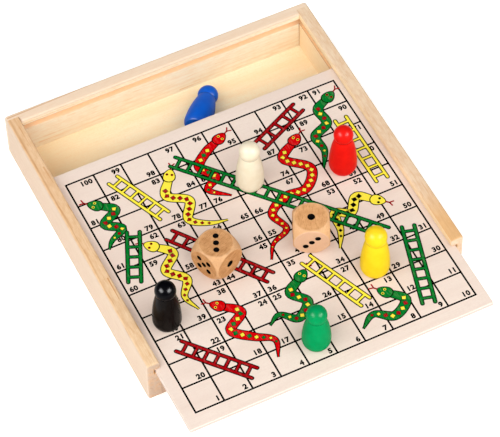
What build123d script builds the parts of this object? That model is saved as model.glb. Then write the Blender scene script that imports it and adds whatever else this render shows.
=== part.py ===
from build123d import *
import os
from math import acos, asin, atan2, cos, degrees, hypot, sin, sqrt

# Snakes and ladders set in a sliding lid box.
# Millimetres. The origin is the centre of the box's underside, +Z is up, and the
# board slides out of the box towards -Y.

# Box
box_width = 150.0
box_depth = 150.0
box_height = 24.0
wall_thickness = 6.0
outer_edge_radius = 1.2
inner_edge_radius = 1.0
front_edge_radius = 0.8
back_tongue = 3.0
joint_gap = 0.05

# Bottom panel, let into a rebate in all four walls
bottom_thickness = 2.0
bottom_rebate = 3.0
bottom_gap = 0.1

# Grooves that the board slides in
groove_level = 17.5
groove_height = 3.1
side_groove_depth = 3.0
back_groove_depth = 2.5

# Board, which is also the lid
board_thickness = 2.5
board_lift = 0.3
board_side_play = 1.0
board_back_play = 0.5
board_front_inset = 1.0
board_edge_radius = 0.3
board_open = 34.3

# Pawns, turned by hand, so each has its own height, head radius and belly radius
pawn_sizes = {
    "black_pawn": (27.7, 4.6, 6.3),
    "green_pawn": (24.2, 4.5, 6.3),
    "yellow_pawn": (27.7, 4.85, 6.45),
    "red_pawn": (27.2, 4.35, 6.25),
    "natural_pawn": (27.2, 4.6, 6.25),
    "blue_pawn": (25.8, 4.7, 6.35),
}
pawn_neck_drop = 2.3
pawn_belly_level = 3.6
pawn_foot_inset = 0.95
pawn_foot_bevel = 0.3

# Dice
die_side = 15.7
die_ball_radius = 10.85
die_edge_radius = 0.25
pip_radius = 1.3
one_pip_radius = 1.7
pip_depth = 0.5
pip_spacing = 2.6
six_pip_spacing = 3.2

# Play between loose pieces and what they stand or lie on
standing_gap = 0.1
lying_gap = 0.3

# Where the pieces stand on the board: to the right of its middle line, and back
# from its front edge
standing_pawns = {
    "black_pawn": (-56.5, 52.7),
    "green_pawn": (-5.0, 15.6),
    "yellow_pawn": (34.4, 38.0),
    "red_pawn": (47.4, 92.7),
    "natural_pawn": (7.2, 103.0),
}
# The dice also have the turn of their sides, in degrees
left_die_place = (-24.8, 70.3, 21.5)
right_die_place = (17.3, 64.3, -24.5)

# The blue pawn lies in the box: the middle of its foot is measured from the
# box's middle line and from the back edge of the open board
lying_foot_x = 3.2
lying_foot_behind_board = 4.8
lying_turn = 50.0

# Worked out from the values above
inner_x = box_width / 2 - wall_thickness
inner_y = box_depth / 2 - wall_thickness
rebate_x = inner_x + bottom_rebate
rebate_y = inner_y + bottom_rebate
board_underside = groove_level + board_lift
board_top = board_underside + board_thickness
board_width = 2 * (inner_x + side_groove_depth - board_side_play)
board_back_closed = inner_y + back_groove_depth - board_back_play
board_length = board_back_closed + box_depth / 2 - board_front_inset
board_back = board_back_closed - board_open
board_front = board_back - board_length


def block(x0, x1, y0, y1, z0, z1):
    """A box between two corners."""
    return Pos((x0 + x1) / 2, (y0 + y1) / 2, (z0 + z1) / 2) * Box(x1 - x0, y1 - y0, z1 - z0)


def edges_along(solid, axis, *wanted):
    """The edges parallel to an axis whose middles lie at each wanted place, None for any."""
    found = []
    for edge in solid.edges().filter_by(axis):
        middle = edge.center()
        place = (middle.X, middle.Y, middle.Z)
        for target in wanted:
            if all(t is None or abs(p - t) < 1e-4 for p, t in zip(place, target)):
                found.append(edge)
    return found


def sanded_box():
    """The outside of the glued box, with all its edges sanded round."""
    outside = block(-box_width / 2, box_width / 2, -box_depth / 2, box_depth / 2, 0, box_height)
    return fillet(outside.edges(), outer_edge_radius)


def bottom_recess():
    """The room for the bottom panel in the walls' lower inner edges."""
    return block(-rebate_x, rebate_x, -rebate_y, rebate_y, 0, bottom_thickness)


def left_wall():
    """A side wall: a full length groove inside, and a back end that the back wall covers."""
    outer = -box_width / 2
    wall = block(outer, -inner_x, -box_depth / 2, box_depth / 2 - back_tongue, 0, box_height)
    wall = fillet(edges_along(wall, Axis.Y, (-inner_x, None, box_height)), inner_edge_radius)
    groove = block(-inner_x - side_groove_depth, -inner_x, -box_depth / 2, box_depth / 2,
                   groove_level, groove_level + groove_height)
    return (wall - groove - bottom_recess()) & sanded_box()


def right_wall():
    """The other side wall, its mirror image."""
    return mirror(left_wall(), about=Plane.YZ)


def back_wall():
    """The back wall: a groove inside, and a thin tongue over the end of each side wall."""
    wall = block(-inner_x + joint_gap, inner_x - joint_gap, inner_y, box_depth / 2, 0, box_height)
    wall = fillet(edges_along(wall, Axis.X, (None, inner_y, box_height)), inner_edge_radius)
    tongue = block(-box_width / 2, box_width / 2, box_depth / 2 - back_tongue, box_depth / 2,
                   0, box_height)
    groove = block(-inner_x, inner_x, inner_y, inner_y + back_groove_depth,
                   groove_level, groove_level + groove_height)
    return ((wall + tongue) - groove - bottom_recess()) & sanded_box()


def front_wall():
    """The low front wall, between the side walls, with its top level with the grooves."""
    reach = inner_x - joint_gap
    wall = block(-reach, reach, -box_depth / 2, -inner_y, 0, groove_level)
    tops = edges_along(wall, Axis.X, (None, -box_depth / 2, groove_level), (None, -inner_y, groove_level))
    wall = fillet(tops, front_edge_radius)
    return (wall - bottom_recess()) & sanded_box()


def bottom_panel():
    """A thin panel, flush with the walls' undersides."""
    x = rebate_x - bottom_gap
    y = rebate_y - bottom_gap
    return block(-x, x, -y, y, 0, bottom_thickness)


def board_lid():
    """The printed board, part way out of the box."""
    board = block(-board_width / 2, board_width / 2, board_front, board_back, board_underside, board_top)
    return fillet(board.edges(), board_edge_radius)


def pawn_side(height, head_radius, belly_radius):
    """The level and radius of a pawn's neck, and the radius of the long arc from its belly."""
    neck_level = height - head_radius - pawn_neck_drop
    neck_radius = sqrt(head_radius**2 - pawn_neck_drop**2)
    rise = neck_level - pawn_belly_level
    inset = belly_radius - neck_radius
    return neck_level, neck_radius, (rise**2 + inset**2) / (2 * inset)


def pawn(height, head_radius, belly_radius):
    """A turned pawn on the origin, standing along +Z."""
    neck_level, neck_radius, side_radius = pawn_side(height, head_radius, belly_radius)
    foot_radius = belly_radius - pawn_foot_inset
    # The long side arc stands upright at the belly
    half_angle = asin((neck_level - pawn_belly_level) / side_radius) / 2
    side_middle = (belly_radius - side_radius * (1 - cos(half_angle)),
                   pawn_belly_level + side_radius * sin(half_angle))
    # So does the short arc from the belly down to the foot
    drop = pawn_belly_level - pawn_foot_bevel
    low_radius = (drop**2 + pawn_foot_inset**2) / (2 * pawn_foot_inset)
    low_angle = atan2(drop, low_radius - pawn_foot_inset) / 2
    low_middle = (belly_radius - low_radius * (1 - cos(low_angle)),
                  pawn_belly_level - low_radius * sin(low_angle))
    foot = (foot_radius - pawn_foot_bevel, 0)
    foot_edge = (foot_radius, pawn_foot_bevel)
    belly = (belly_radius, pawn_belly_level)
    neck = (neck_radius, neck_level)
    top = (0, height)
    outline = [
        Line((0, 0), foot),
        Line(foot, foot_edge),
        ThreePointArc(foot_edge, low_middle, belly),
        ThreePointArc(belly, side_middle, neck),
        ThreePointArc(neck, (head_radius, height - head_radius), top),
        Line(top, (0, 0)),
    ]
    half = Plane.XZ * make_face(outline)
    return revolve(half, Axis.Z)


def standing_pawn(size, place):
    """A pawn on the board at a place measured from the middle of the board's front edge."""
    return Pos(place[0], board_front + place[1], board_top + standing_gap) * pawn(*size)


def lying_pawn(size):
    """A pawn on its side in the box, resting on its side arc and its head."""
    height, head_radius, belly_radius = size
    side_radius = pawn_side(*size)[2]
    head_centre = height - head_radius
    # The floor is the line that touches both circles of the outline
    along = head_centre - pawn_belly_level
    across = side_radius - belly_radius
    nod = atan2(along, across) - acos((side_radius - head_radius) / hypot(along, across))
    foot_height = bottom_thickness + lying_gap + head_centre * sin(nod) + head_radius
    foot_y = board_back + lying_foot_behind_board
    lying = Rot(Z=lying_turn) * Rot(Y=90 + degrees(nod)) * pawn(*size)
    return Pos(lying_foot_x, foot_y, foot_height) * lying


def face_pips(count):
    """The places of the pips on one face, in pip spacings, and their radius."""
    corners = [(1, 1), (-1, -1), (1, -1), (-1, 1)]
    if count == 1:
        return [(0, 0)], one_pip_radius
    if count == 6:
        side_steps = six_pip_spacing / pip_spacing
        return [(x, y * side_steps) for x in (-1, 1) for y in (-1, 0, 1)], pip_radius
    middle = [(0, 0)] if count % 2 else []
    return middle + corners[:count - len(middle)], pip_radius


def die(faces):
    """A die on the origin: a cube whose corners and edges a ball has rounded off.

    faces gives the pips towards +X, -X, +Y, -Y, +Z and -Z.
    """
    half = die_side / 2
    body = Box(die_side, die_side, die_side) & Sphere(die_ball_radius)
    body = fillet(body.edges(), die_edge_radius)
    turns = [Rot(Y=90), Rot(Y=-90), Rot(X=-90), Rot(X=90), Rot(), Rot(X=180)]
    for turn, count in zip(turns, faces):
        places, radius = face_pips(count)
        cutter_radius = (radius**2 + pip_depth**2) / (2 * pip_depth)
        height = half - pip_depth + cutter_radius
        for x, y in places:
            spot = Pos(x * pip_spacing, y * pip_spacing, height)
            body -= turn * spot * Sphere(cutter_radius)
    return body


def placed_die(place, faces):
    """A die on the board at a place measured from the middle of the board's front edge."""
    x, y, turn = place
    z = board_top + standing_gap + die_side / 2
    return Pos(x, board_front + y, z) * Rot(Z=turn) * die(faces)


def main():
    nodes = {
        "left_wall": left_wall(),
        "right_wall": right_wall(),
        "back_wall": back_wall(),
        "front_wall": front_wall(),
        "bottom_panel": bottom_panel(),
        "board_lid": board_lid(),
        "blue_pawn": lying_pawn(pawn_sizes["blue_pawn"]),
        "left_die": placed_die(left_die_place, (2, 5, 6, 1, 3, 4)),
        "right_die": placed_die(right_die_place, (5, 2, 4, 3, 1, 6)),
    }
    for name, place in standing_pawns.items():
        nodes[name] = standing_pawn(pawn_sizes[name], place)
    os.makedirs("parts", exist_ok=True)
    for name, solid in nodes.items():
        export_step(solid, f"parts/{name}.step")


main()
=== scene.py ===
from math import atan2, ceil, cos, floor, hypot, inf, pi, radians, sin, sqrt, tau

import bmesh
import bpy
import numpy as np
from mathutils import Matrix, Vector


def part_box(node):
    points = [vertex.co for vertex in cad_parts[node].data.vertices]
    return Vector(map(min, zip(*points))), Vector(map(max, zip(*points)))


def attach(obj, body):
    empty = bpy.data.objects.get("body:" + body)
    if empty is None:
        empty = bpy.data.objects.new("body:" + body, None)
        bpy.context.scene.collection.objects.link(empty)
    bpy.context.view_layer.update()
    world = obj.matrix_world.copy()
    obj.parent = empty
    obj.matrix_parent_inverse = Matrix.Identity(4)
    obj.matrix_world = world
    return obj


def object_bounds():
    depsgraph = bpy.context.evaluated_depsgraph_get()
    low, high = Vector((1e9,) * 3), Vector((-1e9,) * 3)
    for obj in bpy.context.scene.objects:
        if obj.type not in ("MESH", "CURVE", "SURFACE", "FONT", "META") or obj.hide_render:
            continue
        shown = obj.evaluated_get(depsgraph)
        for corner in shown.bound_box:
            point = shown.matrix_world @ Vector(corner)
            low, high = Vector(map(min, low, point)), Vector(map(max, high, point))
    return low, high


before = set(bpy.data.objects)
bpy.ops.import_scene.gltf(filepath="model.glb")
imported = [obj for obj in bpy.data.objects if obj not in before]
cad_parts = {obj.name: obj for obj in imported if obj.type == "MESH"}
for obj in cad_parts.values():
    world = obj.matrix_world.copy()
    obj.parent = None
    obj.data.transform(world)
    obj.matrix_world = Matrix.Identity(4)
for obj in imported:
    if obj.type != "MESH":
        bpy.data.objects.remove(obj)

cad_low, cad_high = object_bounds()
MM = 0.001

# The photograph's camera: where it aims on the board, how far off it stands, its angles in degrees,
# its lens and sensor in millimetres, and how near it starts to see
AIM = Vector((-1.3, -22.4, 20.3)) * MM
CAMERA_DISTANCE = 1193.8 * MM
CAMERA_AZIMUTH = 25.25
CAMERA_ELEVATION = 53.35
CAMERA_ROLL = -1.27
CAMERA_LENS = 198.7
SENSOR_WIDTH = 36.0
CAMERA_NEAR = 0.05

# The print on the board: ten squares a side, a little to the right of the board's middle. The ink
# sinks a little into the board, and its layers lie on each other: grid, snakes, ladders.
SQUARE = 13.15 * MM
SQUARES_A_SIDE = 10
PRINT_SHIFT = 0.5 * MM
INK_LAYER = 0.006 * MM
INK_SINK = 0.004 * MM
GRID_LAYER = 1
SNAKE_LAYER = 3
LADDER_LAYER = 11
# Crossing lines of one tone lie this part of a layer apart, so that no two faces share a place
CROSSING = 0.2

# The grid's lines and numbers, in squares: a number's height, how far from its square's side and
# base it stands, how much bolder than the font it is, and the room that it keeps to a figure
GRID_LINE = 0.062
NUMBER_HEIGHT = 0.19
NUMBER_SIDE = 0.12
NUMBER_BASE = 0.09
NUMBER_WEIGHT = 0.014
NUMBER_ROOM = 0.03
# How far apart its digits stand, how much of the font's size their height is, how finely their
# curves are cut, how many layers of ink they are, and how near two corners are joined
NUMBER_SPACE = 1.12
DIGIT_SHARE = 0.727
DIGIT_STEPS = 3
NUMBER_LAYERS = 2
WELD = 0.0002 * MM

# How finely figures are cut: the straight steps in a round end, a dot, a head, and between two
# points of a snake, and, in squares, the steps along its body and along what the figures take up
END_STEPS = 6
DOT_CORNERS = 14
HEAD_CORNERS = 28
CURVE_STEPS = 14
BODY_STEP = 0.05
TAKE_STEP = 0.06

# Ladders, in squares
RAIL_GAP = 0.42
RAIL_WIDTH = 0.085
RUNG_WIDTH = 0.07
RUNG_STEP = 0.4
RAIL_END = 0.2
OUTLINE = 0.034

# A snake's body, in squares, and as shares: how slim its neck is, how much of its length is tail,
# how quickly that narrows and how blunt it ends
BODY_HALF = 0.155
NECK_LENGTH = 0.5
NECK_SHARE = 0.72
TAIL_SHARE = 0.42
TAIL_CURVE = 0.75
TAIL_END = 0.1

# The diamonds down its back, in squares: where they start and how much of the length has none, then
# how much of the body's width they take and the edge round them
MARK_START = 0.45
MARK_FREE = 0.8
MARK_STEP = 0.23
MARK_LENGTH = 0.17
MARK_SHARE = 0.56
MARK_EDGE = 0.02

# Its head, in squares, and as shares of the head's length and half width: how far ahead of the
# neck the head's middle lies, and how much it narrows towards the nose
HEAD_LENGTH = 0.5
HEAD_HALF = 0.185
HEAD_AHEAD = 0.18
HEAD_TAPER = 0.28
EYE_AHEAD = 0.04
EYE_BESIDE = 0.085
EYE_RADIUS = 0.048
PUPIL_RADIUS = 0.028

# Its tongue, in squares, and the share of it that lies before the fork
TONGUE = 0.26
TONGUE_STEM = 0.55
TONGUE_WIDTH = 0.055
FORK_WIDTH = 0.05
FORK_SPREAD = 0.09

# How wide the painted shade along the crease at a pawn's neck is, how dark it is, and how far
# under the top of the head the crease is looked for
CREASE = 0.4 * MM
CREASE_SHADE = 0.45
NECK_HIGHEST = 5 * MM
NECK_LOWEST = 9 * MM

# Dice: the size of a pip, how far the pips stand apart, and how thick and how finely cut their paint is
PIP_RADIUS = 1.27 * MM
ONE_PIP_RADIUS = 1.67 * MM
PIP_DEPTH = 0.5 * MM
PIP_SPACING = 2.6 * MM
SIX_PIP_SPACING = 3.2 * MM
PIP_PAINT = 0.03 * MM
PIP_CORNERS = 28
PIP_RINGS = 7
# How they are turned, and their pips towards +X, -X, +Y, -Y, +Z and -Z
DICE_TURN = {"left_die": 21.5, "right_die": -24.5}
DICE_FACES = {"left_die": (2, 5, 6, 1, 3, 4), "right_die": (5, 2, 4, 3, 1, 6)}
# The ball that rounds a die, and how deep and how strongly the tones of its rims and ends cover it;
# the paler rims and the right die's end tone are partly painted sheen
DIE_BALL = 10.85 * MM
DIE_RIM = 0.5 * MM
DIE_RIM_SHARE = 0.35
DIE_END = 0.4 * MM
DIE_END_SHARE = 0.75

# Light: how bright the air is, and how bright it is where a glossy surface mirrors it
AIR = 0.38
AIR_IN_GLOSS = 0.05
# The soft boxes' angle to each side of the camera, how high they and the low light stand, all in
# degrees, the sizes of their faces, how far off they stand, and the power of their light in watts
LIGHT_ANGLE = 42
SOFT_RISE = 43
LOW_LIGHT_RISE = 25
SOFT_SIZE = 1.7
SHEEN_WIDTH = 1.25
SHEEN_HEIGHT = 0.85
LIGHT_DISTANCE = 1.8
SOFT_POWER = 17.3
LOW_POWER = 19.0
SHEEN_POWER = 225.0

# The floor: how far it reaches, how far under the box it lies, and how much it glows
FLOOR_REACH = 6.0
FLOOR_DROP = 0.1 * MM
FLOOR_GLOW = 0.32


def colour(red, green, blue):
    """A colour as it shows on a screen, 0 to 255, as the linear values that a shader takes."""
    shown = [channel / 255 for channel in (red, green, blue)]
    return tuple(c / 12.92 if c <= 0.04045 else ((c + 0.055) / 1.055) ** 2.4 for c in shown) + (1.0,)


class Look:
    """A material whose node tree is written with short calls."""

    def __init__(self, name, shader):
        self.material = bpy.data.materials.new(name)
        self.material.use_nodes = True
        self.tree = self.material.node_tree
        self.shader = self.tree.nodes["Principled BSDF"]
        self.fill(self.shader, shader)

    def fill(self, node, inputs):
        """Sets or links a node's inputs by their names or numbers."""
        for key, value in inputs.items():
            if isinstance(value, bpy.types.NodeSocket):
                self.tree.links.new(value, node.inputs[key])
            else:
                node.inputs[key].default_value = value

    def node(self, kind, inputs, **settings):
        """A new node, with its settings and inputs."""
        made = self.tree.nodes.new("ShaderNode" + kind)
        for key, value in settings.items():
            setattr(made, key, value)
        self.fill(made, inputs)
        return made

    def place(self, scale=(1, 1, 1), turn=(0, 0, 0), shift=(0, 0, 0), source=None):
        """The piece's own coordinates, in metres, scaled, turned and shifted in that order."""
        if source is None:
            source = self.node("TexCoord", {}).outputs["Object"]
        inputs = {"Vector": source, "Scale": scale, "Location": shift,
                  "Rotation": tuple(radians(angle) for angle in turn)}
        return self.node("Mapping", inputs).outputs["Vector"]

    def noise(self, place, scale, detail, roughness=0.5):
        """Soft noise from 0 to 1, with so many waves to a metre."""
        inputs = {"Vector": place, "Scale": scale, "Detail": detail, "Roughness": roughness}
        return self.node("TexNoise", inputs).outputs["Fac"]

    def streaks(self, along, stretch, scale, detail, roughness=0.5):
        """Noise drawn out along the grain, more so where stretch is smaller."""
        return self.noise(self.place(scale=(1, 1, stretch), source=along), scale, detail, roughness)

    def sum(self, operation, *values):
        """One step of arithmetic."""
        return self.node("Math", dict(enumerate(values)), operation=operation).outputs[0]

    def between(self, value, low, high, to_low=0.0, to_high=1.0):
        """A value's place between two limits, spread smoothly over two others."""
        inputs = {"Value": value, "From Min": low, "From Max": high, "To Min": to_low, "To Max": to_high}
        return self.node("MapRange", inputs, interpolation_type="SMOOTHSTEP").outputs["Result"]

    def mix(self, share, first, second):
        """Two colours mixed, by a share of the second."""
        return self.node("Mix", {0: share, 6: first, 7: second}, data_type="RGBA").outputs[2]

    def bump(self, height, distance, strength, under=None):
        """A normal bent by a height from 0 to 1 that stands for a real distance."""
        inputs = {"Height": height, "Distance": distance, "Strength": strength}
        if under is not None:
            inputs["Normal"] = under
        return self.node("Bump", inputs).outputs["Normal"]


# How far in from the walls' inner faces and from the box's outside their own looks reach, how much
# these cover, how far down the walls' rounded rims reach, where the grooves lie, a little past their
# bottoms, and how soft the edges of such a tone are
SKIN = 0.3 * MM
SANDED = 0.8 * MM
SANDED_SHARE = 0.7
RIM = 1.1 * MM
GROOVE_LOW = 17.5 * MM
GROOVE_HIGH = 20.6 * MM
GROOVE_DEPTH = 3.1 * MM
SOFT_EDGE = 0.1 * MM

# The box's far top corner, the room's far corner, and how the grain's axes are turned upright
box_high = Vector((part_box("right_wall")[1].x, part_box("back_wall")[1].y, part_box("back_wall")[1].z))
room_high = Vector((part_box("right_wall")[0].x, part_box("back_wall")[0].y, 0.0))
GRAIN_TURNS = {"X": (0, 90, 0), "Y": (90, 0, 0)}

# Solid wood: how far apart its rings lie, how far they wander, and how much a vein or a painted
# shadow line narrows
RING = 2.2 * MM
WANDER = 2.0 * MM
VEIN_TAPER = 0.7

# How thick the board's outer plies are, below and above its core
PLY_BELOW = 0.7 * MM
PLY_ABOVE = 0.8 * MM


def vein(look, own, face, start, end, width, strength, dark):
    """A short dark streak between two points in millimetres, slimmer towards its end: a streak of grain in
    the wood, or a painted shadow line.
    """
    start, end = Vector(start) * MM, Vector(end) * MM
    ahead = (end - start) / (end - start).length_squared
    offset = look.node("VectorMath", {0: own, 1: start}, operation="SUBTRACT").outputs["Vector"]
    along = look.node("VectorMath", {0: offset, 1: ahead}, operation="DOT_PRODUCT").outputs["Value"]
    along = look.node("Clamp", {"Value": along}).outputs["Result"]
    nearest = look.node("VectorMath", {0: end - start, "Scale": along}, operation="SCALE").outputs["Vector"]
    away = look.node("VectorMath", {0: offset, 1: nearest}, operation="DISTANCE").outputs["Value"]
    reach = look.sum("MULTIPLY_ADD", along, -VEIN_TAPER * width * MM, width * MM)
    share = look.between(look.sum("DIVIDE", away, reach), 0.2, 1.0, strength, 0.0)
    return look.mix(share, face, dark)


def late_wood(look, along):
    """The dark part of each ring round the pith, from 0 to 1: it darkens slowly and ends sharply."""
    slow = look.place(scale=(1, 1, 0.06), source=along)
    flat = look.place(scale=(1, 1, 0), source=along)
    distance = look.node("VectorMath", {0: flat}, operation="LENGTH").outputs["Value"]
    narrow = look.sum("SUBTRACT", look.noise(slow, 90, 2), 0.5)
    waved = look.sum("MULTIPLY_ADD", narrow, 2 * WANDER, distance)
    wide = look.sum("SUBTRACT", look.noise(slow, 30, 1), 0.5)
    waved = look.sum("MULTIPLY_ADD", wide, 6 * WANDER, waved)
    share = look.sum("FRACT", look.sum("DIVIDE", waved, RING))
    rise = look.between(share, 0.25, 0.86)
    fall = look.between(share, 0.9, 1.0, 1.0, 0.0)
    late = look.sum("MULTIPLY", look.sum("POWER", rise, 1.6), fall)
    patchy = look.between(look.streaks(along, 0.03, 160, 1), 0.3, 0.7, 0.25, 1.0)
    return look.sum("MULTIPLY", late, patchy)


def in_groove(look, places, beside):
    """Where the faces of the walls' grooves are, from 0 to 1."""
    past_side = look.sum("SUBTRACT", beside, room_high.x)
    depth = look.sum("MAXIMUM", past_side, look.sum("SUBTRACT", places["Y"], room_high.y))
    deep = look.sum("MULTIPLY", look.between(depth, 0.0, SKIN),
                    look.between(depth, GROOVE_DEPTH, GROOVE_DEPTH + SOFT_EDGE, 1.0, 0.0))
    level = look.sum("MULTIPLY", look.between(places["Z"], GROOVE_LOW - SOFT_EDGE, GROOVE_LOW),
                     look.between(places["Z"], GROOVE_HIGH, GROOVE_HIGH + SOFT_EDGE, 1.0, 0.0))
    return look.sum("MULTIPLY", deep, level)


def wood(name, grain, pith, pale, dark, far=None, top=None, inside=None, outside=None, ends=None, cut=None,
         lines=0.7, fibres=0.2, mottle=0.2, flecks=0.4, veins_and_shadow_lines=()):
    """Solid bare wood: rings round a far pith, long fibres and slow changes of tone.

    grain is the axis that the fibres follow, and pith is where the tree's middle would lie,
    across the grain. The same rings make long lines on the faces and arcs on the ends. far is a
    tone that takes over between two places along the stick. inside is the tone of a side wall's
    inner face. top, outside and ends are the tones of the faces that were sanded after the box
    was glued; where top reaches down the rounded inner rim it is also painted shade that dims the
    rim's highlight. cut is the tone inside the groove: partly painted shade on the back wall, and
    painted light that fills the groove's shadow on the right wall. lines, fibres, mottle and
    flecks say how much each darkens the wood. Each streak of grain or painted shadow line has its
    start, end, width, strength and, if it isn't simply dark, its own tone. All places and widths
    are in millimetres.
    """
    look = Look(name, {"Roughness": 0.6, "Specular IOR Level": 0.0})
    own = look.place()
    along = look.place(turn=GRAIN_TURNS[grain], shift=(pith[0] * MM, pith[1] * MM, 0), source=own)
    late = late_wood(look, along)
    streak = look.between(look.streaks(along, 0.03, 2600, 3, 0.6), 0.35, 0.75)
    fleck = look.between(look.streaks(along, 0.1, 1000, 1), 0.62, 0.72)
    sandy = look.streaks(along, 0.4, 620, 3, 0.65)
    cloudy = look.streaks(along, 0.12, 45, 2)
    places = look.node("SeparateXYZ", {0: own}).outputs
    beside = look.sum("ABSOLUTE", places["X"])

    if far is not None:
        far_tone, start, end = far
        pale = look.mix(look.between(places[grain], start * MM, end * MM), pale, far_tone)
    face = look.mix(look.between(cloudy, 0.3, 0.7, 0.0, 0.2), pale, dark)
    face = look.mix(look.between(sandy, 0.35, 0.7, 0.0, mottle), face, dark)
    for figure, strength in ((late, lines), (streak, fibres), (fleck, flecks)):
        face = look.mix(look.sum("MULTIPLY", figure, strength), face, dark)

    if top is not None:
        # The top's tone also covers the rounded inner rim: there it is painted shade that dims the rim's
        # highlight
        rim = box_high.z - RIM
        share = look.between(places["Z"], rim, rim + RIM / 5, 0.0, SANDED_SHARE)
        face = look.mix(share, face, top)
    if inside is not None:
        share = look.between(beside, room_high.x + SKIN / 6, room_high.x + SKIN, SANDED_SHARE, 0.0)
        face = look.mix(share, face, inside)
    # Streaks of grain, and painted shadow lines
    for start, end, width, strength, *tone in veins_and_shadow_lines:
        face = vein(look, own, face, start, end, width, strength, tone[0] if tone else dark)
    if outside is not None:
        share = look.between(beside, box_high.x - SANDED, box_high.x - SANDED / 6, 0.0, SANDED_SHARE)
        face = look.mix(share, face, outside)
    if ends is not None:
        mottled = look.between(look.noise(look.place(scale=(1, 0.3, 1)), 500, 3), 0.4, 0.65, 0.0, 0.3)
        share = look.between(places["Y"], SANDED / 6 - box_high.y, SANDED - box_high.y, SANDED_SHARE, 0.0)
        face = look.mix(share, face, look.mix(mottled, ends, dark))
    # The groove's own tone, which on some walls paints shade or light in it
    if cut is not None:
        face = look.mix(in_groove(look, places, beside), face, cut)

    height = look.sum("MULTIPLY_ADD", streak, 0.5, late)
    look.fill(look.shader, {"Base Color": face, "Normal": look.bump(height, 0.03 * MM, 0.6)})
    return look.material


def beech(name, die, grain_turn, pale, dark, rims, ends=None):
    """A die's varnished beech: short flecks and fine speckle, paler on its rims, partly as a painted sheen.

    ends is the tone of its two ends of grain, where they look unlike its other faces; on the right die,
    whose ends are its front and back faces, it is partly a painted sheen.
    """
    look = Look(name, {"Roughness": 0.45, "Specular IOR Level": 0.012})
    low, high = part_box(die)
    centre = (low + high) / 2
    own = look.place(shift=tuple(-centre))
    turned = look.place(turn=(0, 0, grain_turn - DICE_TURN[die]), source=own)
    cloudy = look.noise(turned, 260, 3, 0.6)
    fleck = look.noise(look.place(scale=(0.16, 1, 1), source=turned), 3000, 2)
    speckle = look.noise(turned, 4200, 2, 0.7)
    ground = look.mix(look.between(cloudy, 0.3, 0.7, 0.0, 0.5), pale, dark)
    flecked = look.mix(look.between(fleck, 0.52, 0.7, 0.0, 0.65), ground, dark)
    speckled = look.mix(look.between(speckle, 0.45, 0.65, 0.0, 0.45), flecked, dark)
    reach = look.node("VectorMath", {0: own}, operation="LENGTH").outputs["Value"]
    # Partly painted sheen: paler towards the rounded edges
    rim = look.between(reach, DIE_BALL - DIE_RIM, DIE_BALL, 0.0, DIE_RIM_SHARE)
    face = look.mix(rim, speckled, rims)
    if ends is not None:
        beside = look.sum("ABSOLUTE", look.node("SeparateXYZ", {0: turned}).outputs["X"])
        half = high.z - centre.z
        face = look.mix(look.between(beside, half - DIE_END, half, 0.0, DIE_END_SHARE), face, ends)
    look.fill(look.shader, {"Base Color": face, "Normal": look.bump(fleck, 0.015 * MM, 0.4)})
    return look.material


def panel_wood(name, pale, dark, far=None, layers=None):
    """Thin plywood: a smooth face with faint figure.

    far is a tone that takes over from the box's left side to its middle. layers gives the levels
    that the core lies between, and its tone on the edge.
    """
    look = Look(name, {"Roughness": 0.55, "Specular IOR Level": 0.0})
    along = look.place(turn=GRAIN_TURNS["X"])
    figure = look.streaks(along, 0.12, 60, 3, 0.55)
    fine = look.streaks(along, 0.05, 2200, 3, 0.6)
    pores = look.streaks(along, 0.16, 1500, 1)
    speckle = look.noise(look.place(), 1300, 3, 0.7)
    if far is not None:
        across = look.node("SeparateXYZ", {0: look.place()}).outputs["X"]
        pale = look.mix(look.between(across, -box_high.x, 0), pale, far)
    ground = look.mix(look.between(figure, 0.35, 0.7, 0.0, 0.6), pale, dark)
    ground = look.mix(look.between(speckle, 0.42, 0.72, 0.0, 0.3), ground, dark)
    streaked = look.mix(look.between(fine, 0.4, 0.8, 0.0, 0.35), ground, dark)
    face = look.mix(look.between(pores, 0.66, 0.76, 0.0, 0.3), streaked, dark)
    if layers is not None:
        low, high, core = layers
        height = look.node("SeparateXYZ", {0: look.place()}).outputs["Z"]
        inside = look.sum("MULTIPLY", look.between(height, low, low + SOFT_EDGE),
                          look.between(height, high, high + SOFT_EDGE, 1.0, 0.0))
        face = look.mix(inside, face, core)
    bump = look.bump(look.sum("ADD", fine, pores), 0.015 * MM, 0.5)
    look.fill(look.shader, {"Base Color": face, "Normal": bump})
    return look.material


def neck_crease(pawn):
    """A pawn's middle line, towards its head, and how far along it the crease of its neck lies."""
    points = np.array([vertex.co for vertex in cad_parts[pawn].data.vertices])
    centre = points.mean(axis=0)
    axis = np.linalg.svd(points - centre)[2][0]
    along = (points - centre) @ axis
    reach = np.linalg.norm(points - centre - np.outer(along, axis), axis=1)
    if reach[along > 0].mean() > reach[along < 0].mean():
        axis, along = -axis, -along
    near = (along > along.max() - NECK_LOWEST) & (along < along.max() - NECK_HIGHEST)
    return tuple(axis), along[near][reach[near].argmin()] + centre @ axis


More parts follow.
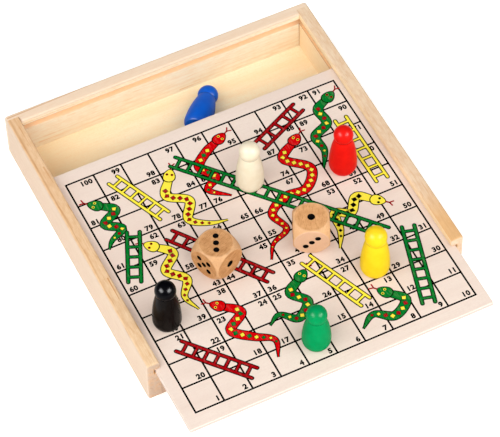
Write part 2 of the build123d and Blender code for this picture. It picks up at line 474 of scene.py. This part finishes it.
def paint(name, tone, shade, roughness, shine, pawn=None, head=None):
    """Satin paint on a turned piece, with a little unevenness from the wood and the lathe.

    shade is the tone of its darker clouds, and head that of a pawn's head, where the rest of the
    paint has another tone: the black pawn's lighter body tone is partly a painted reflection of
    the board. A pawn's paint also gets painted shade along the crease of its neck.
    """
    look = Look(name, {"Roughness": roughness, "Specular IOR Level": shine})
    own = look.place()
    cloudy = look.noise(own, 320, 3)
    upright = look.streaks(own, 0.12, 900, 2)
    mixed = look.mix(look.between(cloudy, 0.3, 0.75, 0.0, 0.55), tone, shade)
    if pawn is not None:
        axis, neck = neck_crease(pawn)
        along = look.node("VectorMath", {0: own, 1: axis}, operation="DOT_PRODUCT").outputs["Value"]
        if head is not None:
            mixed = look.mix(look.between(along, neck, neck + CREASE), mixed, head)
        # Painted shade: the paint darkens towards black along the crease of the neck
        beside = look.sum("ABSOLUTE", look.sum("SUBTRACT", along, neck))
        mixed = look.mix(look.between(beside, 0.0, CREASE, CREASE_SHADE, 0.0), mixed, colour(0, 0, 0))
    turned = look.noise(look.place(scale=(0.02, 0.02, 1), source=own), 2400, 1)
    uneven = look.bump(cloudy, 0.02 * MM, 0.12)
    uneven = look.bump(upright, 0.01 * MM, 0.15, uneven)
    uneven = look.bump(turned, 0.01 * MM, 0.2, uneven)
    look.fill(look.shader, {"Base Color": mixed, "Normal": uneven})
    return look.material


def ink(name, tone, wear=0.08):
    """Screen printed ink that the board's pale grain shows through a little."""
    look = Look(name, {"Roughness": 0.4, "Specular IOR Level": 0.0})
    worn = look.between(look.noise(look.place(scale=(1, 0.2, 1)), 1800, 2), 0.45, 0.85, 0.0, wear)
    look.fill(look.shader, {"Base Color": look.mix(worn, tone, colour(236, 220, 204))})
    return look.material


def link(name, mesh):
    """A new object that holds a mesh, in the scene."""
    piece = bpy.data.objects.new(name, mesh)
    bpy.context.scene.collection.objects.link(piece)
    return piece


board_low, board_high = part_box("board_lid")
PRINT_LEFT = (board_low.x + board_high.x) / 2 + PRINT_SHIFT - SQUARE * SQUARES_A_SIDE / 2
PRINT_FRONT = (board_low.y + board_high.y) / 2 - SQUARE * SQUARES_A_SIDE / 2


class Print:
    """A printed figure: thin closed plates of ink, on top of each other, that make one piece.

    Shapes are given in squares, from the front left corner of the first square.
    """

    def __init__(self, name, inks, first_layer):
        self.name = name
        self.inks = inks
        self.first_layer = first_layer
        self.mesh = bmesh.new()

    def spot(self, point, height):
        """A point of the print in the part's frame."""
        return (PRINT_LEFT + point[0] * SQUARE, PRINT_FRONT + point[1] * SQUARE, height)

    def levels(self, layer):
        """The levels that a layer's plates lie between."""
        return board_high.z - INK_SINK, board_high.z + (self.first_layer + layer) * INK_LAYER

    def strip(self, left, right, layer, ink_number):
        """A closed plate between two rows of points, which may meet at its ends."""
        low, top = self.levels(layer)
        rings = []
        for one, other in zip(left, right):
            corners = [(one, top), (other, top), (other, low), (one, low)]
            rings.append([self.mesh.verts.new(self.spot(*corner)) for corner in corners])
        faces = [rings[0][::-1], rings[-1]]
        for here, there in zip(rings, rings[1:]):
            for side in range(4):
                after = (side + 1) % 4
                faces.append((here[side], here[after], there[after], there[side]))
        for corners in faces:
            self.mesh.faces.new(corners).material_index = ink_number

    def plate(self, outline, layer, ink_number):
        """A closed plate with a simple outline."""
        rings = [[self.mesh.verts.new(self.spot(point, z)) for point in outline] for z in self.levels(layer)]
        faces = [rings[0][::-1], rings[1]]
        for index in range(len(outline)):
            after = (index + 1) % len(outline)
            faces.append((rings[0][index], rings[0][after], rings[1][after], rings[1][index]))
        for corners in faces:
            self.mesh.faces.new(corners).material_index = ink_number

    def disc(self, centre, radius, layer, ink_number):
        """A round plate."""
        angles = [tau * step / DOT_CORNERS for step in range(DOT_CORNERS)]
        outline = [(centre[0] + radius * cos(a), centre[1] + radius * sin(a)) for a in angles]
        self.plate(outline, layer, ink_number)

    def stroke(self, start, end, width, layer, ink_number):
        """A straight stroke with round ends."""
        turn = atan2(end[1] - start[1], end[0] - start[0])
        outline = []
        for centre, first in ((end, -pi / 2), (start, pi / 2)):
            for step in range(END_STEPS + 1):
                angle = turn + first + pi * step / END_STEPS
                outline.append((centre[0] + width / 2 * cos(angle), centre[1] + width / 2 * sin(angle)))
        self.plate(outline, layer, ink_number)

    def finish(self):
        """Turns the plates into a piece that rides on the board."""
        bmesh.ops.recalc_face_normals(self.mesh, faces=self.mesh.faces)
        mesh = bpy.data.meshes.new(self.name)
        self.mesh.to_mesh(mesh)
        self.mesh.free()
        for material in self.inks:
            mesh.materials.append(material)
        piece = link(self.name, mesh)
        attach(piece, "board")


def make_grid(black):
    """The lines between the squares."""
    grid = Print("grid_lines", [black], GRID_LAYER)
    half = GRID_LINE / 2
    far = SQUARES_A_SIDE + half
    for number in range(SQUARES_A_SIDE + 1):
        grid.strip([(number - half, -half), (number - half, far)],
                   [(number + half, -half), (number + half, far)], 0, 0)
        grid.strip([(-half, number + half), (far, number + half)],
                   [(-half, number - half), (far, number - half)], CROSSING, 0)
    grid.finish()


def square_corner(number):
    """The front left corner of a numbered square, whose rows run left and right by turns."""
    row, step = divmod(number - 1, SQUARES_A_SIDE)
    column = step if row % 2 == 0 else SQUARES_A_SIDE - 1 - step
    return column, row


def within(number, across, along):
    """A place in a numbered square, from its front left corner."""
    column, row = square_corner(number)
    return column + across, row + along


# The places that the ladders and snakes take up, as discs: across, along and radius, in squares
taken = []


def take(start, end, radius):
    """Notes a straight stretch of the print as taken."""
    across, along = end[0] - start[0], end[1] - start[1]
    steps = max(1, ceil(hypot(across, along) / TAKE_STEP))
    for step in range(steps + 1):
        share = step / steps
        taken.append((start[0] + across * share, start[1] + along * share, radius))


def free_corner(number, width):
    """Where a number starts in its square: the first corner that is clear, or else the clearest."""
    column, row = square_corner(number)
    left, right = column + NUMBER_SIDE, column + 1 - NUMBER_SIDE - width
    low, high = row + NUMBER_BASE, row + 1 - NUMBER_BASE - NUMBER_HEIGHT
    best = (-inf, None)
    for x, y in ((right, low), (right, high), (left, low), (left, high)):
        room = inf
        for across, along, radius in taken:
            beside = max(x - across, across - x - width, 0)
            above = max(y - along, along - y - NUMBER_HEIGHT, 0)
            room = min(room, hypot(beside, above) - radius)
        if room > NUMBER_ROOM:
            return x, y
        best = max(best, (room, (x, y)))
    return best[1]


def number_mesh(number, size):
    """One number as a flat mesh that starts at x = 0."""
    curve = bpy.data.curves.new("number", "FONT")
    curve.body = str(number)
    curve.size = size
    curve.offset = NUMBER_WEIGHT * SQUARE
    curve.extrude = (INK_LAYER * NUMBER_LAYERS + INK_SINK) / 2
    curve.resolution_u = DIGIT_STEPS
    curve.space_character = NUMBER_SPACE
    text = link("number", curve)
    bpy.context.view_layer.update()
    mesh = bpy.data.meshes.new_from_object(text.evaluated_get(bpy.context.evaluated_depsgraph_get()))
    bpy.data.objects.remove(text)
    bpy.data.curves.remove(curve)
    return mesh


def make_numbers(black):
    """The numbers of the squares, from the front left corner."""
    whole = bmesh.new()
    size = NUMBER_HEIGHT * SQUARE / DIGIT_SHARE
    level = board_high.z + (INK_LAYER * NUMBER_LAYERS - INK_SINK) / 2
    for number in range(1, SQUARES_A_SIDE**2 + 1):
        mesh = number_mesh(number, size)
        width = max(vertex.co.x for vertex in mesh.vertices) / SQUARE
        x, y = free_corner(number, width)
        mesh.transform(Matrix.Translation((PRINT_LEFT + x * SQUARE, PRINT_FRONT + y * SQUARE, level)))
        whole.from_mesh(mesh)
        bpy.data.meshes.remove(mesh)
    bmesh.ops.remove_doubles(whole, verts=whole.verts, dist=WELD)
    mesh = bpy.data.meshes.new("square_numbers")
    whole.to_mesh(mesh)
    whole.free()
    mesh.materials.append(black)
    piece = link("square_numbers", mesh)
    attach(piece, "board")


def make_ladder(name, start, end, black, tone):
    """A ladder from one point of the print to another."""
    ladder = Print(name, [black, tone], LADDER_LAYER)
    length = hypot(end[0] - start[0], end[1] - start[1])
    up = ((end[0] - start[0]) / length, (end[1] - start[1]) / length)
    side = (-up[1], up[0])

    def spot(along, across):
        return (start[0] + up[0] * along + side[0] * across, start[1] + up[1] * along + side[1] * across)

    gaps = max(1, round((length - 2 * RAIL_END) / RUNG_STEP))
    step = (length - 2 * RAIL_END) / gaps
    rails = [(spot(0, across), spot(length, across)) for across in (-RAIL_GAP / 2, RAIL_GAP / 2)]
    rungs = []
    for number in range(gaps + 1):
        along = RAIL_END + number * step
        rungs.append((spot(along, -RAIL_GAP / 2), spot(along, RAIL_GAP / 2)))
    for strokes, width in ((rails, RAIL_WIDTH), (rungs, RUNG_WIDTH)):
        for low, high in strokes:
            take(low, high, width / 2)
    for grown, ink_number in ((2 * OUTLINE, 0), (0.0, 1)):
        for low, high in rails:
            ladder.stroke(low, high, RAIL_WIDTH + grown, ink_number, ink_number)
        for low, high in rungs:
            ladder.stroke(low, high, RUNG_WIDTH + grown, ink_number + CROSSING, ink_number)
    ladder.finish()


def smooth_line(points):
    """Closely spaced points on a smooth curve through a few (a Catmull-Rom spline)."""
    padded = [[2 * a - b for a, b in zip(points[0], points[1])], *points,
              [2 * a - b for a, b in zip(points[-1], points[-2])]]
    line = []
    for before, here, there, after in zip(padded, padded[1:], padded[2:], padded[3:]):
        for step in range(CURVE_STEPS):
            t = step / CURVE_STEPS
            point = []
            for a, b, c, d in zip(before, here, there, after):
                bend = (2 * a - 5 * b + 4 * c - d) * t**2 + (3 * b - a - 3 * c + d) * t**3
                point.append(0.5 * (2 * b + (c - a) * t + bend))
            line.append(tuple(point))
    line.append(tuple(points[-1]))
    return line


class Spine:
    """A snake's middle line, which gives places by their distance from the head."""

    def __init__(self, points):
        self.line = [Vector(point) for point in smooth_line(points)]
        self.reach = [0.0]
        for here, there in zip(self.line, self.line[1:]):
            self.reach.append(self.reach[-1] + (there - here).length)
        self.length = self.reach[-1]

    def at(self, distance):
        """The point at a distance, and the direction there, towards the tail."""
        index = 0
        while index < len(self.line) - 2 and self.reach[index + 1] < distance:
            index += 1
        span = self.line[index + 1] - self.line[index]
        share = (distance - self.reach[index]) / (self.reach[index + 1] - self.reach[index])
        return self.line[index] + span * share, span.normalized()

    def beside(self, distance, across):
        """A point to one side of the line."""
        point, heading = self.at(distance)
        return point + Vector((-heading.y, heading.x)) * across

    def half_width(self, distance):
        """Half the body's width: a slim neck, an even body and a long pointed tail."""
        neck = NECK_SHARE + (1 - NECK_SHARE) * min(1.0, distance / NECK_LENGTH)
        tail = min(1.0, (1.0 - distance / self.length) / TAIL_SHARE) ** TAIL_CURVE
        return BODY_HALF * neck * max(tail, TAIL_END)


def print_head(snake, start, nose):
    """A snake's head, with its eyes and forked tongue, at the start of its body."""
    across = Vector((-nose.y, nose.x))
    centre = start + nose * HEAD_LENGTH * HEAD_AHEAD
    take(start, centre + nose * (HEAD_LENGTH / 2 + TONGUE), HEAD_HALF)
    for grown, layer, ink_number in ((OUTLINE, 4, 0), (0.0, 5, 1)):
        outline = []
        for step in range(HEAD_CORNERS):
            angle = tau * step / HEAD_CORNERS
            forward = cos(angle) * (HEAD_LENGTH / 2 + grown)
            width = sin(angle) * (HEAD_HALF + grown) * (1 - HEAD_TAPER * cos(angle))
            outline.append(centre + nose * forward + across * width)
        snake.plate(outline, layer, ink_number)
    for side in (-1, 1):
        eye = centre + nose * EYE_AHEAD + across * side * EYE_BESIDE
        snake.disc(eye, EYE_RADIUS, 6, 2)
        snake.disc(eye, PUPIL_RADIUS, 7, 0)
    root = centre + nose * HEAD_LENGTH / 2
    fork = root + nose * TONGUE * TONGUE_STEM
    snake.stroke(root, fork, TONGUE_WIDTH, 4, 4)
    for side in (-1, 1):
        tip = fork + nose * TONGUE * (1 - TONGUE_STEM) + across * side * FORK_SPREAD
        snake.stroke(fork, tip, FORK_WIDTH, 4, 4)


def make_snake(name, points, black, body, marks, tongue):
    """A snake from its head to its tail, with a row of diamonds down its back.

    Its layers, from 0: the body's outline, the body, the diamonds' edges, the diamonds, the
    tongue with the head's outline, the head, the eyes and their pupils.
    """
    snake = Print(name, [black, body, marks[0], marks[1], tongue], SNAKE_LAYER)
    spine = Spine(points)
    count = ceil(spine.length / BODY_STEP)
    stations = [spine.length * step / count for step in range(count + 1)]
    for grown, layer in ((OUTLINE, 0), (0.0, 1)):
        left = [spine.beside(s, spine.half_width(s) + grown) for s in stations]
        right = [spine.beside(s, -spine.half_width(s) - grown) for s in stations]
        snake.strip(left, right, layer, layer)
    for station in stations:
        taken.append((*spine.at(station)[0], spine.half_width(station)))
    for mark in range(floor((spine.length - MARK_FREE) / MARK_STEP)):
        place = MARK_START + MARK_STEP * (mark + 0.5)
        half = spine.half_width(place)
        length = MARK_LENGTH / 2 * half / BODY_HALF
        for grown, layer, ink_number in ((MARK_EDGE, 2, 0), (0.0, 3, 2 + mark % 2)):
            across = half * MARK_SHARE + grown
            outline = [spine.at(place - length - grown)[0], spine.beside(place, across),
                       spine.at(place + length + grown)[0], spine.beside(place, -across)]
            snake.plate(outline, layer, ink_number)
    start, heading = spine.at(0.0)
    print_head(snake, start, -heading)
    snake.finish()


def make_print():
    """Everything that is printed on the board."""
    black = ink("ink_black", colour(10, 6, 3), 0.0)
    green = ink("ink_green", colour(0, 116, 40))
    yellow = ink("ink_yellow", colour(243, 225, 66))
    red = ink("ink_red", colour(206, 0, 8))
    crimson = ink("ink_crimson", colour(158, 4, 14))
    make_grid(black)
    # Each ladder's name, foot, top and tone
    ladders = [
        ("ladder_32_97", within(32, 0.6, 0.5), within(97, 0.6, 0.3), green),
        ("ladder_9_31", within(9, 0.5, 0.4), within(31, 0.35, 0.4), green),
        ("ladder_60_79", within(60, 0.4, 0.4), within(79, 0.2, 0.25), green),
        ("ladder_3_21", within(3, 0.3, 0.5), within(21, 0.6, 0.5), crimson),
        ("ladder_36_63", within(36, 0.4, 0.6), within(63, 0.2, 0.6), crimson),
        ("ladder_87_92", within(87, 0.5, 0.6), within(92, 0.4, 0.5), crimson),
        ("ladder_14_35", within(14, 0.7, 0.35), within(35, 0.75, 0.7), yellow),
        ("ladder_51_90", within(51, 0.5, 0.5), within(90, 0.45, 0.4), yellow),
        ("ladder_78_99", within(78, 0.4, 0.4), within(99, 0.5, 0.5), yellow),
    ]
    for name, start, end, tone in ladders:
        make_ladder(name, start, end, black, tone)
    # Each snake's name, its middle line from the head, its tone and the two tones of its diamonds
    snakes = [
        ("snake_81_80", [(0.6, 8.75), (1.05, 8.35), (0.5, 7.95), (0.95, 7.55), (0.45, 7.25), (0.2, 6.95)],
         green, (yellow, crimson)),
        ("snake_84_65", [(3.2, 8.75), (2.8, 8.1), (3.4, 7.6), (3.05, 6.9), (3.6, 6.45), (4.2, 6.3)],
         yellow, (crimson, crimson)),
        ("snake_88_45", [(7.6, 8.25), (6.95, 7.75), (7.6, 7.0), (7.1, 6.3), (6.3, 6.3), (5.6, 5.85),
                         (5.75, 5.1), (5.1, 4.75), (4.75, 4.2)],
         red, (yellow, yellow)),
        ("snake_13_7", [(7.5, 1.35), (7.9, 0.85), (7.3, 0.45), (6.7, 0.8), (6.15, 0.45)],
         green, (yellow, crimson)),
        ("snake_38_4", [(2.45, 3.3), (2.95, 2.8), (2.35, 2.3), (2.9, 1.75), (3.45, 1.35), (3.25, 0.7)],
         red, (yellow, green)),
        ("snake_62_39", [(1.55, 6.4), (2.0, 5.9), (1.5, 5.35), (1.95, 4.75), (1.6, 4.15), (1.8, 3.5)],
         yellow, (crimson, crimson)),
        ("snake_91_69", [(9.45, 9.4), (8.95, 9.1), (8.95, 8.45), (8.35, 8.1), (8.35, 7.45), (8.0, 6.8)],
         green, (crimson, yellow)),
        ("snake_49_33", [(8.9, 4.85), (8.4, 5.25), (7.95, 4.75), (7.45, 4.95), (7.3, 4.25), (6.95, 3.6)],
         yellow, (black, black)),
        ("snake_35_17", [(5.25, 3.15), (4.7, 2.75), (5.05, 2.2), (4.5, 1.75), (4.0, 2.15), (3.55, 1.9)],
         green, (yellow, crimson)),
        ("snake_95_76", [(5.35, 9.45), (4.75, 9.15), (4.3, 8.7), (4.6, 8.1), (4.15, 7.7), (4.75, 7.15)],
         red, (yellow, green)),
    ]
    for name, points, body, marks in snakes:
        make_snake(name, points, black, body, marks, crimson)
    make_numbers(black)


# How the faces towards +X, -X, +Y, -Y, +Z and -Z are turned from the top face
FACE_TURNS = [
    Matrix.Rotation(pi / 2, 4, "Y"),
    Matrix.Rotation(-pi / 2, 4, "Y"),
    Matrix.Rotation(-pi / 2, 4, "X"),
    Matrix.Rotation(pi / 2, 4, "X"),
    Matrix.Identity(4),
    Matrix.Rotation(pi, 4, "X"),
]


def face_pips(count):
    """The places of a face's pips, and their radius."""
    if count == 1:
        return [(0.0, 0.0)], ONE_PIP_RADIUS
    if count == 6:
        return [(x * PIP_SPACING, y * SIX_PIP_SPACING) for x in (-1, 1) for y in (-1, 0, 1)], PIP_RADIUS
    corners = [(1, 1), (-1, -1), (1, -1), (-1, 1)][:count - count % 2]
    places = [(x * PIP_SPACING, y * PIP_SPACING) for x, y in corners]
    return places + [(0.0, 0.0)] * (count % 2), PIP_RADIUS


def add_pip(mesh, turn, place, radius, face_height):
    """A drop of paint that lines a round hollow: a closed bowl, thin as paint."""
    hollow = (radius**2 + PIP_DEPTH**2) / (2 * PIP_DEPTH)
    shells = []
    for lift in (PIP_PAINT, -PIP_PAINT):
        shell = []
        for ring in range(PIP_RINGS + 1):
            reach = radius * ring / PIP_RINGS
            height = face_height - PIP_DEPTH + hollow - sqrt(hollow**2 - reach**2) + lift
            points = []
            for step in range(PIP_CORNERS if ring else 1):
                angle = tau * step / PIP_CORNERS
                point = Vector((place[0] + reach * cos(angle), place[1] + reach * sin(angle), height))
                points.append(mesh.verts.new(turn @ point))
            shell.append(points)
        shells.append(shell)
    for shell in shells:
        for step in range(PIP_CORNERS):
            after = (step + 1) % PIP_CORNERS
            mesh.faces.new((shell[0][0], shell[1][step], shell[1][after])).smooth = True
            for near, far in zip(shell[1:], shell[2:]):
                mesh.faces.new((near[step], far[step], far[after], near[after])).smooth = True
    upper, lower = shells[0][-1], shells[1][-1]
    for step in range(PIP_CORNERS):
        after = (step + 1) % PIP_CORNERS
        mesh.faces.new((upper[step], lower[step], lower[after], upper[after]))


def make_pips(die, black):
    """The paint in a die's pips."""
    low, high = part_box(die)
    half = (high.z - low.z) / 2
    stand = Matrix.Translation((low + high) / 2) @ Matrix.Rotation(radians(DICE_TURN[die]), 4, "Z")
    mesh = bmesh.new()
    for turn, count in zip(FACE_TURNS, DICE_FACES[die]):
        places, radius = face_pips(count)
        for place in places:
            add_pip(mesh, stand @ turn, place, radius, half)
    bmesh.ops.recalc_face_normals(mesh, faces=mesh.faces)
    name = die + "_pips"
    made = bpy.data.meshes.new(name)
    mesh.to_mesh(made)
    mesh.free()
    made.materials.append(black)
    piece = link(name, made)
    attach(piece, die)


def dress(node, material):
    """Gives a CAD node its finish."""
    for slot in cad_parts[node].material_slots:
        slot.material = material


def dress_box():
    """The bare wood of the box: each wall is its own stick, with its own rings."""
    brown = colour(176, 122, 72)
    tan = colour(192, 136, 84)
    dress("left_wall", wood(
        "wood_left_wall", "Y", (-90, 31), colour(240, 212, 175), colour(202, 144, 90),
        far=(colour(237, 206, 168), -75, 25), outside=colour(206, 191, 178), ends=colour(160, 141, 130),
        cut=colour(236, 194, 146), lines=0.12, fibres=0.25, mottle=0.3, flecks=0.5,
        veins_and_shadow_lines=[((-73.7, 72, 24), (-73.5, -10, 24), 1.0, 0.5, tan),
               ((-71.5, 72, 24), (-71.0, 52, 24), 0.7, 0.35),
               ((-70.4, -26, 24), (-70.5, -38, 24), 0.6, 0.9),
               ((-73.6, 18, 24), (-72.8, 5, 24), 0.6, 0.5),
               # A painted shadow where the board's back corner meets the wall
               ((-73.2, -8, 24), (-74.2, -37, 24), 0.6, 0.45),
               ((-70.7, 41, 24), (-70.4, 31, 24), 0.6, 0.7)]))
    dress("right_wall", wood(
        "wood_right_wall", "Y", (30, 60), colour(230, 187, 135), colour(206, 150, 98),
        far=(colour(234, 211, 182), -66, -40), inside=colour(255, 230, 188), outside=colour(214, 190, 166),
        # The groove's tone is painted light, paler than the wood, that fills the groove's shadow
        ends=colour(224, 204, 184), cut=colour(252, 214, 164), lines=0.15, fibres=0.25, mottle=0.3,
        flecks=0.35,
        # Painted shadow lines along the groove's lower corner and under its lip
        veins_and_shadow_lines=[((69, 69, 17.5), (69, 10, 17.5), 0.4, 0.8, brown),
               ((69, 69, 20.7), (69, 10, 20.7), 0.4, 0.6, brown)]))
    dress("back_wall", wood(
        "wood_back_wall", "X", (50, -110), colour(255, 245, 221), colour(240, 196, 142),
        # The top's tone on the rounded rim is painted shade that dims its highlight, and the groove's tone
        # is partly painted shade
        top=colour(225, 196, 172), outside=colour(208, 190, 174), cut=colour(253, 218, 176),
        lines=0.27, fibres=0.25, mottle=0.25,
        veins_and_shadow_lines=[((-74, 73.2, 24), (-34, 74.2, 24), 0.6, 0.6, tan),
               ((8, 69, 3.5), (19, 69, 3.8), 0.6, 0.9),
               ((-62, 69, 4.9), (-50, 69, 4.8), 0.5, 0.7),
               ((26, 69, 12), (32, 69, 12), 0.5, 0.5),
               ((-68, 69, 21.6), (-44, 69, 21.9), 0.4, 0.7),
               ((68.9, 69, 20), (68.9, 69, 2), 0.5, 0.9, brown),
               # A painted shadow line under the groove's lip
               ((-70, 69, 20.6), (70, 69, 20.6), 0.3, 0.6, brown)]))
    dress("front_wall", wood(
        "wood_front_wall", "X", (-60, 80), colour(182, 158, 140), colour(164, 130, 102)))
    dress("bottom_panel", panel_wood(
        "ply_bottom", colour(255, 233, 191), colour(252, 214, 160), far=colour(255, 245, 216)))
    core = (board_low.z + PLY_BELOW, board_high.z - PLY_ABOVE, colour(196, 182, 172))
    dress("board_lid", panel_wood(
        "ply_board", colour(234, 217, 204), colour(222, 200, 186), layers=core))


def dress_pieces():
    """The paint of the pawns and the wood of the dice."""
    # Each pawn's paint, its darker clouds, its roughness, how much it mirrors and its head's own tone
    for pawn, tone, shade, roughness, shine, head in (
            # The black pawn's body tone, lighter than its head, is partly a painted reflection of the board
            ("black_pawn", colour(17, 12, 10), colour(4, 3, 3), 0.22, 0.056, colour(4, 4, 7)),
            ("green_pawn", colour(0, 142, 80), colour(0, 126, 68), 0.27, 0.031, None),
            ("yellow_pawn", colour(239, 203, 33), colour(231, 191, 24), 0.32, 0.04, None),
            ("red_pawn", colour(224, 24, 16), colour(208, 18, 13), 0.28, 0.034, None),
            ("natural_pawn", colour(232, 221, 196), colour(224, 208, 176), 0.42, 0.08, None),
            ("blue_pawn", colour(0, 92, 204), colour(0, 76, 186), 0.38, 0.08, None)):
        dress(pawn, paint("finish_" + pawn, tone, shade, roughness, shine, pawn, head))
    # Both dice are paler on their rounded edges, partly as a painted sheen
    dress("left_die", beech(
        "beech_left_die", "left_die", 0, colour(212, 160, 109), colour(162, 106, 62), colour(234, 192, 148)))
    # The right die's end tone, on its front and back faces, is partly a painted sheen
    dress("right_die", beech(
        "beech_right_die", "right_die", 90, colour(228, 174, 121), colour(184, 126, 76),
        colour(236, 196, 154), colour(216, 176, 150)))
    black = paint("paint_pips", colour(7, 5, 4), colour(14, 10, 8), 0.6, 0.006)
    for die in DICE_FACES:
        make_pips(die, black)


def make_floor():
    """A plain pale floor, just under the box."""
    mesh = bpy.data.meshes.new("floor")
    corners = [(-1, -1), (1, -1), (1, 1), (-1, 1)]
    level = cad_low.z - FLOOR_DROP
    mesh.from_pydata([(x * FLOOR_REACH, y * FLOOR_REACH, level) for x, y in corners], [], [(0, 1, 2, 3)])
    look = Look("pale_floor", {
        "Base Color": colour(252, 252, 252), "Roughness": 0.9, "Specular IOR Level": 0.0,
        "Emission Color": (1, 1, 1, 1), "Emission Strength": FLOOR_GLOW})
    mesh.materials.append(look.material)
    link("floor", mesh)


def camera_axes():
    """The directions ahead of the camera, level to its right, and up."""
    azimuth, elevation = radians(CAMERA_AZIMUTH), radians(CAMERA_ELEVATION)
    ahead = Vector((sin(azimuth) * cos(elevation), cos(azimuth) * cos(elevation), -sin(elevation)))
    level = Vector((cos(azimuth), -sin(azimuth), 0.0))
    return ahead, level, level.cross(ahead)


def raised(away, rise):
    """The direction over the same spot of the floor, at a height given in degrees."""
    outward = Vector((away.x, away.y, 0.0)).normalized()
    return outward * cos(radians(rise)) + Vector((0.0, 0.0, sin(radians(rise))))


def make_light(name, away, width, height, power):
    """A soft box that faces the board from a direction."""
    light = bpy.data.lights.new(name, "AREA")
    light.shape = "RECTANGLE"
    light.size = width
    light.size_y = height
    light.energy = power
    lamp = link(name, light)
    lamp.location = AIM + away * LIGHT_DISTANCE
    lamp.rotation_mode = "QUATERNION"
    lamp.rotation_quaternion = away.to_track_quat("Z", "Y")
    lamp.visible_camera = False
    return lamp


def make_studio():
    """A soft box at each side of the camera, a low one under it and pale air all round.

    At each side one lamp lights the surfaces, and a smaller and stronger one, a little below it,
    only shows as a sheen on what is glossy.
    """
    world = bpy.data.worlds.new("studio")
    bpy.context.scene.world = world
    world.use_nodes = True
    air = world.node_tree.nodes["Background"]
    ray = world.node_tree.nodes.new("ShaderNodeLightPath")
    dim = world.node_tree.nodes.new("ShaderNodeMapRange")
    dim.inputs["To Min"].default_value = AIR
    dim.inputs["To Max"].default_value = AIR_IN_GLOSS
    world.node_tree.links.new(ray.outputs["Is Glossy Ray"], dim.inputs["Value"])
    world.node_tree.links.new(dim.outputs["Result"], air.inputs["Strength"])
    air.inputs["Color"].default_value = (1.0, 1.0, 1.0, 1.0)
    ahead, level, _ = camera_axes()
    for side, word in ((-1, "left"), (1, "right")):
        angle = radians(LIGHT_ANGLE) * side
        away = level * sin(angle) - ahead * cos(angle)
        make_light("sheen_" + word, away, SHEEN_WIDTH, SHEEN_HEIGHT, SHEEN_POWER).visible_diffuse = False
        higher = raised(away, SOFT_RISE)
        make_light("soft_box_" + word, higher, SOFT_SIZE, SOFT_SIZE, SOFT_POWER).visible_glossy = False
    lower = raised(-ahead, LOW_LIGHT_RISE)
    make_light("low_box", lower, SOFT_SIZE, SOFT_SIZE, LOW_POWER).visible_glossy = False
    bpy.context.scene.view_settings.view_transform = "Standard"


def make_camera():
    """The camera, where the photograph's stood."""
    data = bpy.data.cameras.new("camera")
    data.lens = CAMERA_LENS
    data.sensor_width = SENSOR_WIDTH
    data.clip_start = CAMERA_NEAR
    camera = link("camera", data)
    ahead, level, upright = camera_axes()
    roll = radians(CAMERA_ROLL)
    right = level * cos(roll) + upright * sin(roll)
    up = right.cross(ahead)
    turn = Matrix((right, up, -ahead)).transposed().to_4x4()
    camera.matrix_world = Matrix.Translation(AIM - ahead * CAMERA_DISTANCE) @ turn
    bpy.context.scene.camera = camera


make_camera()
make_studio()
make_floor()
dress_box()
dress_pieces()
make_print()
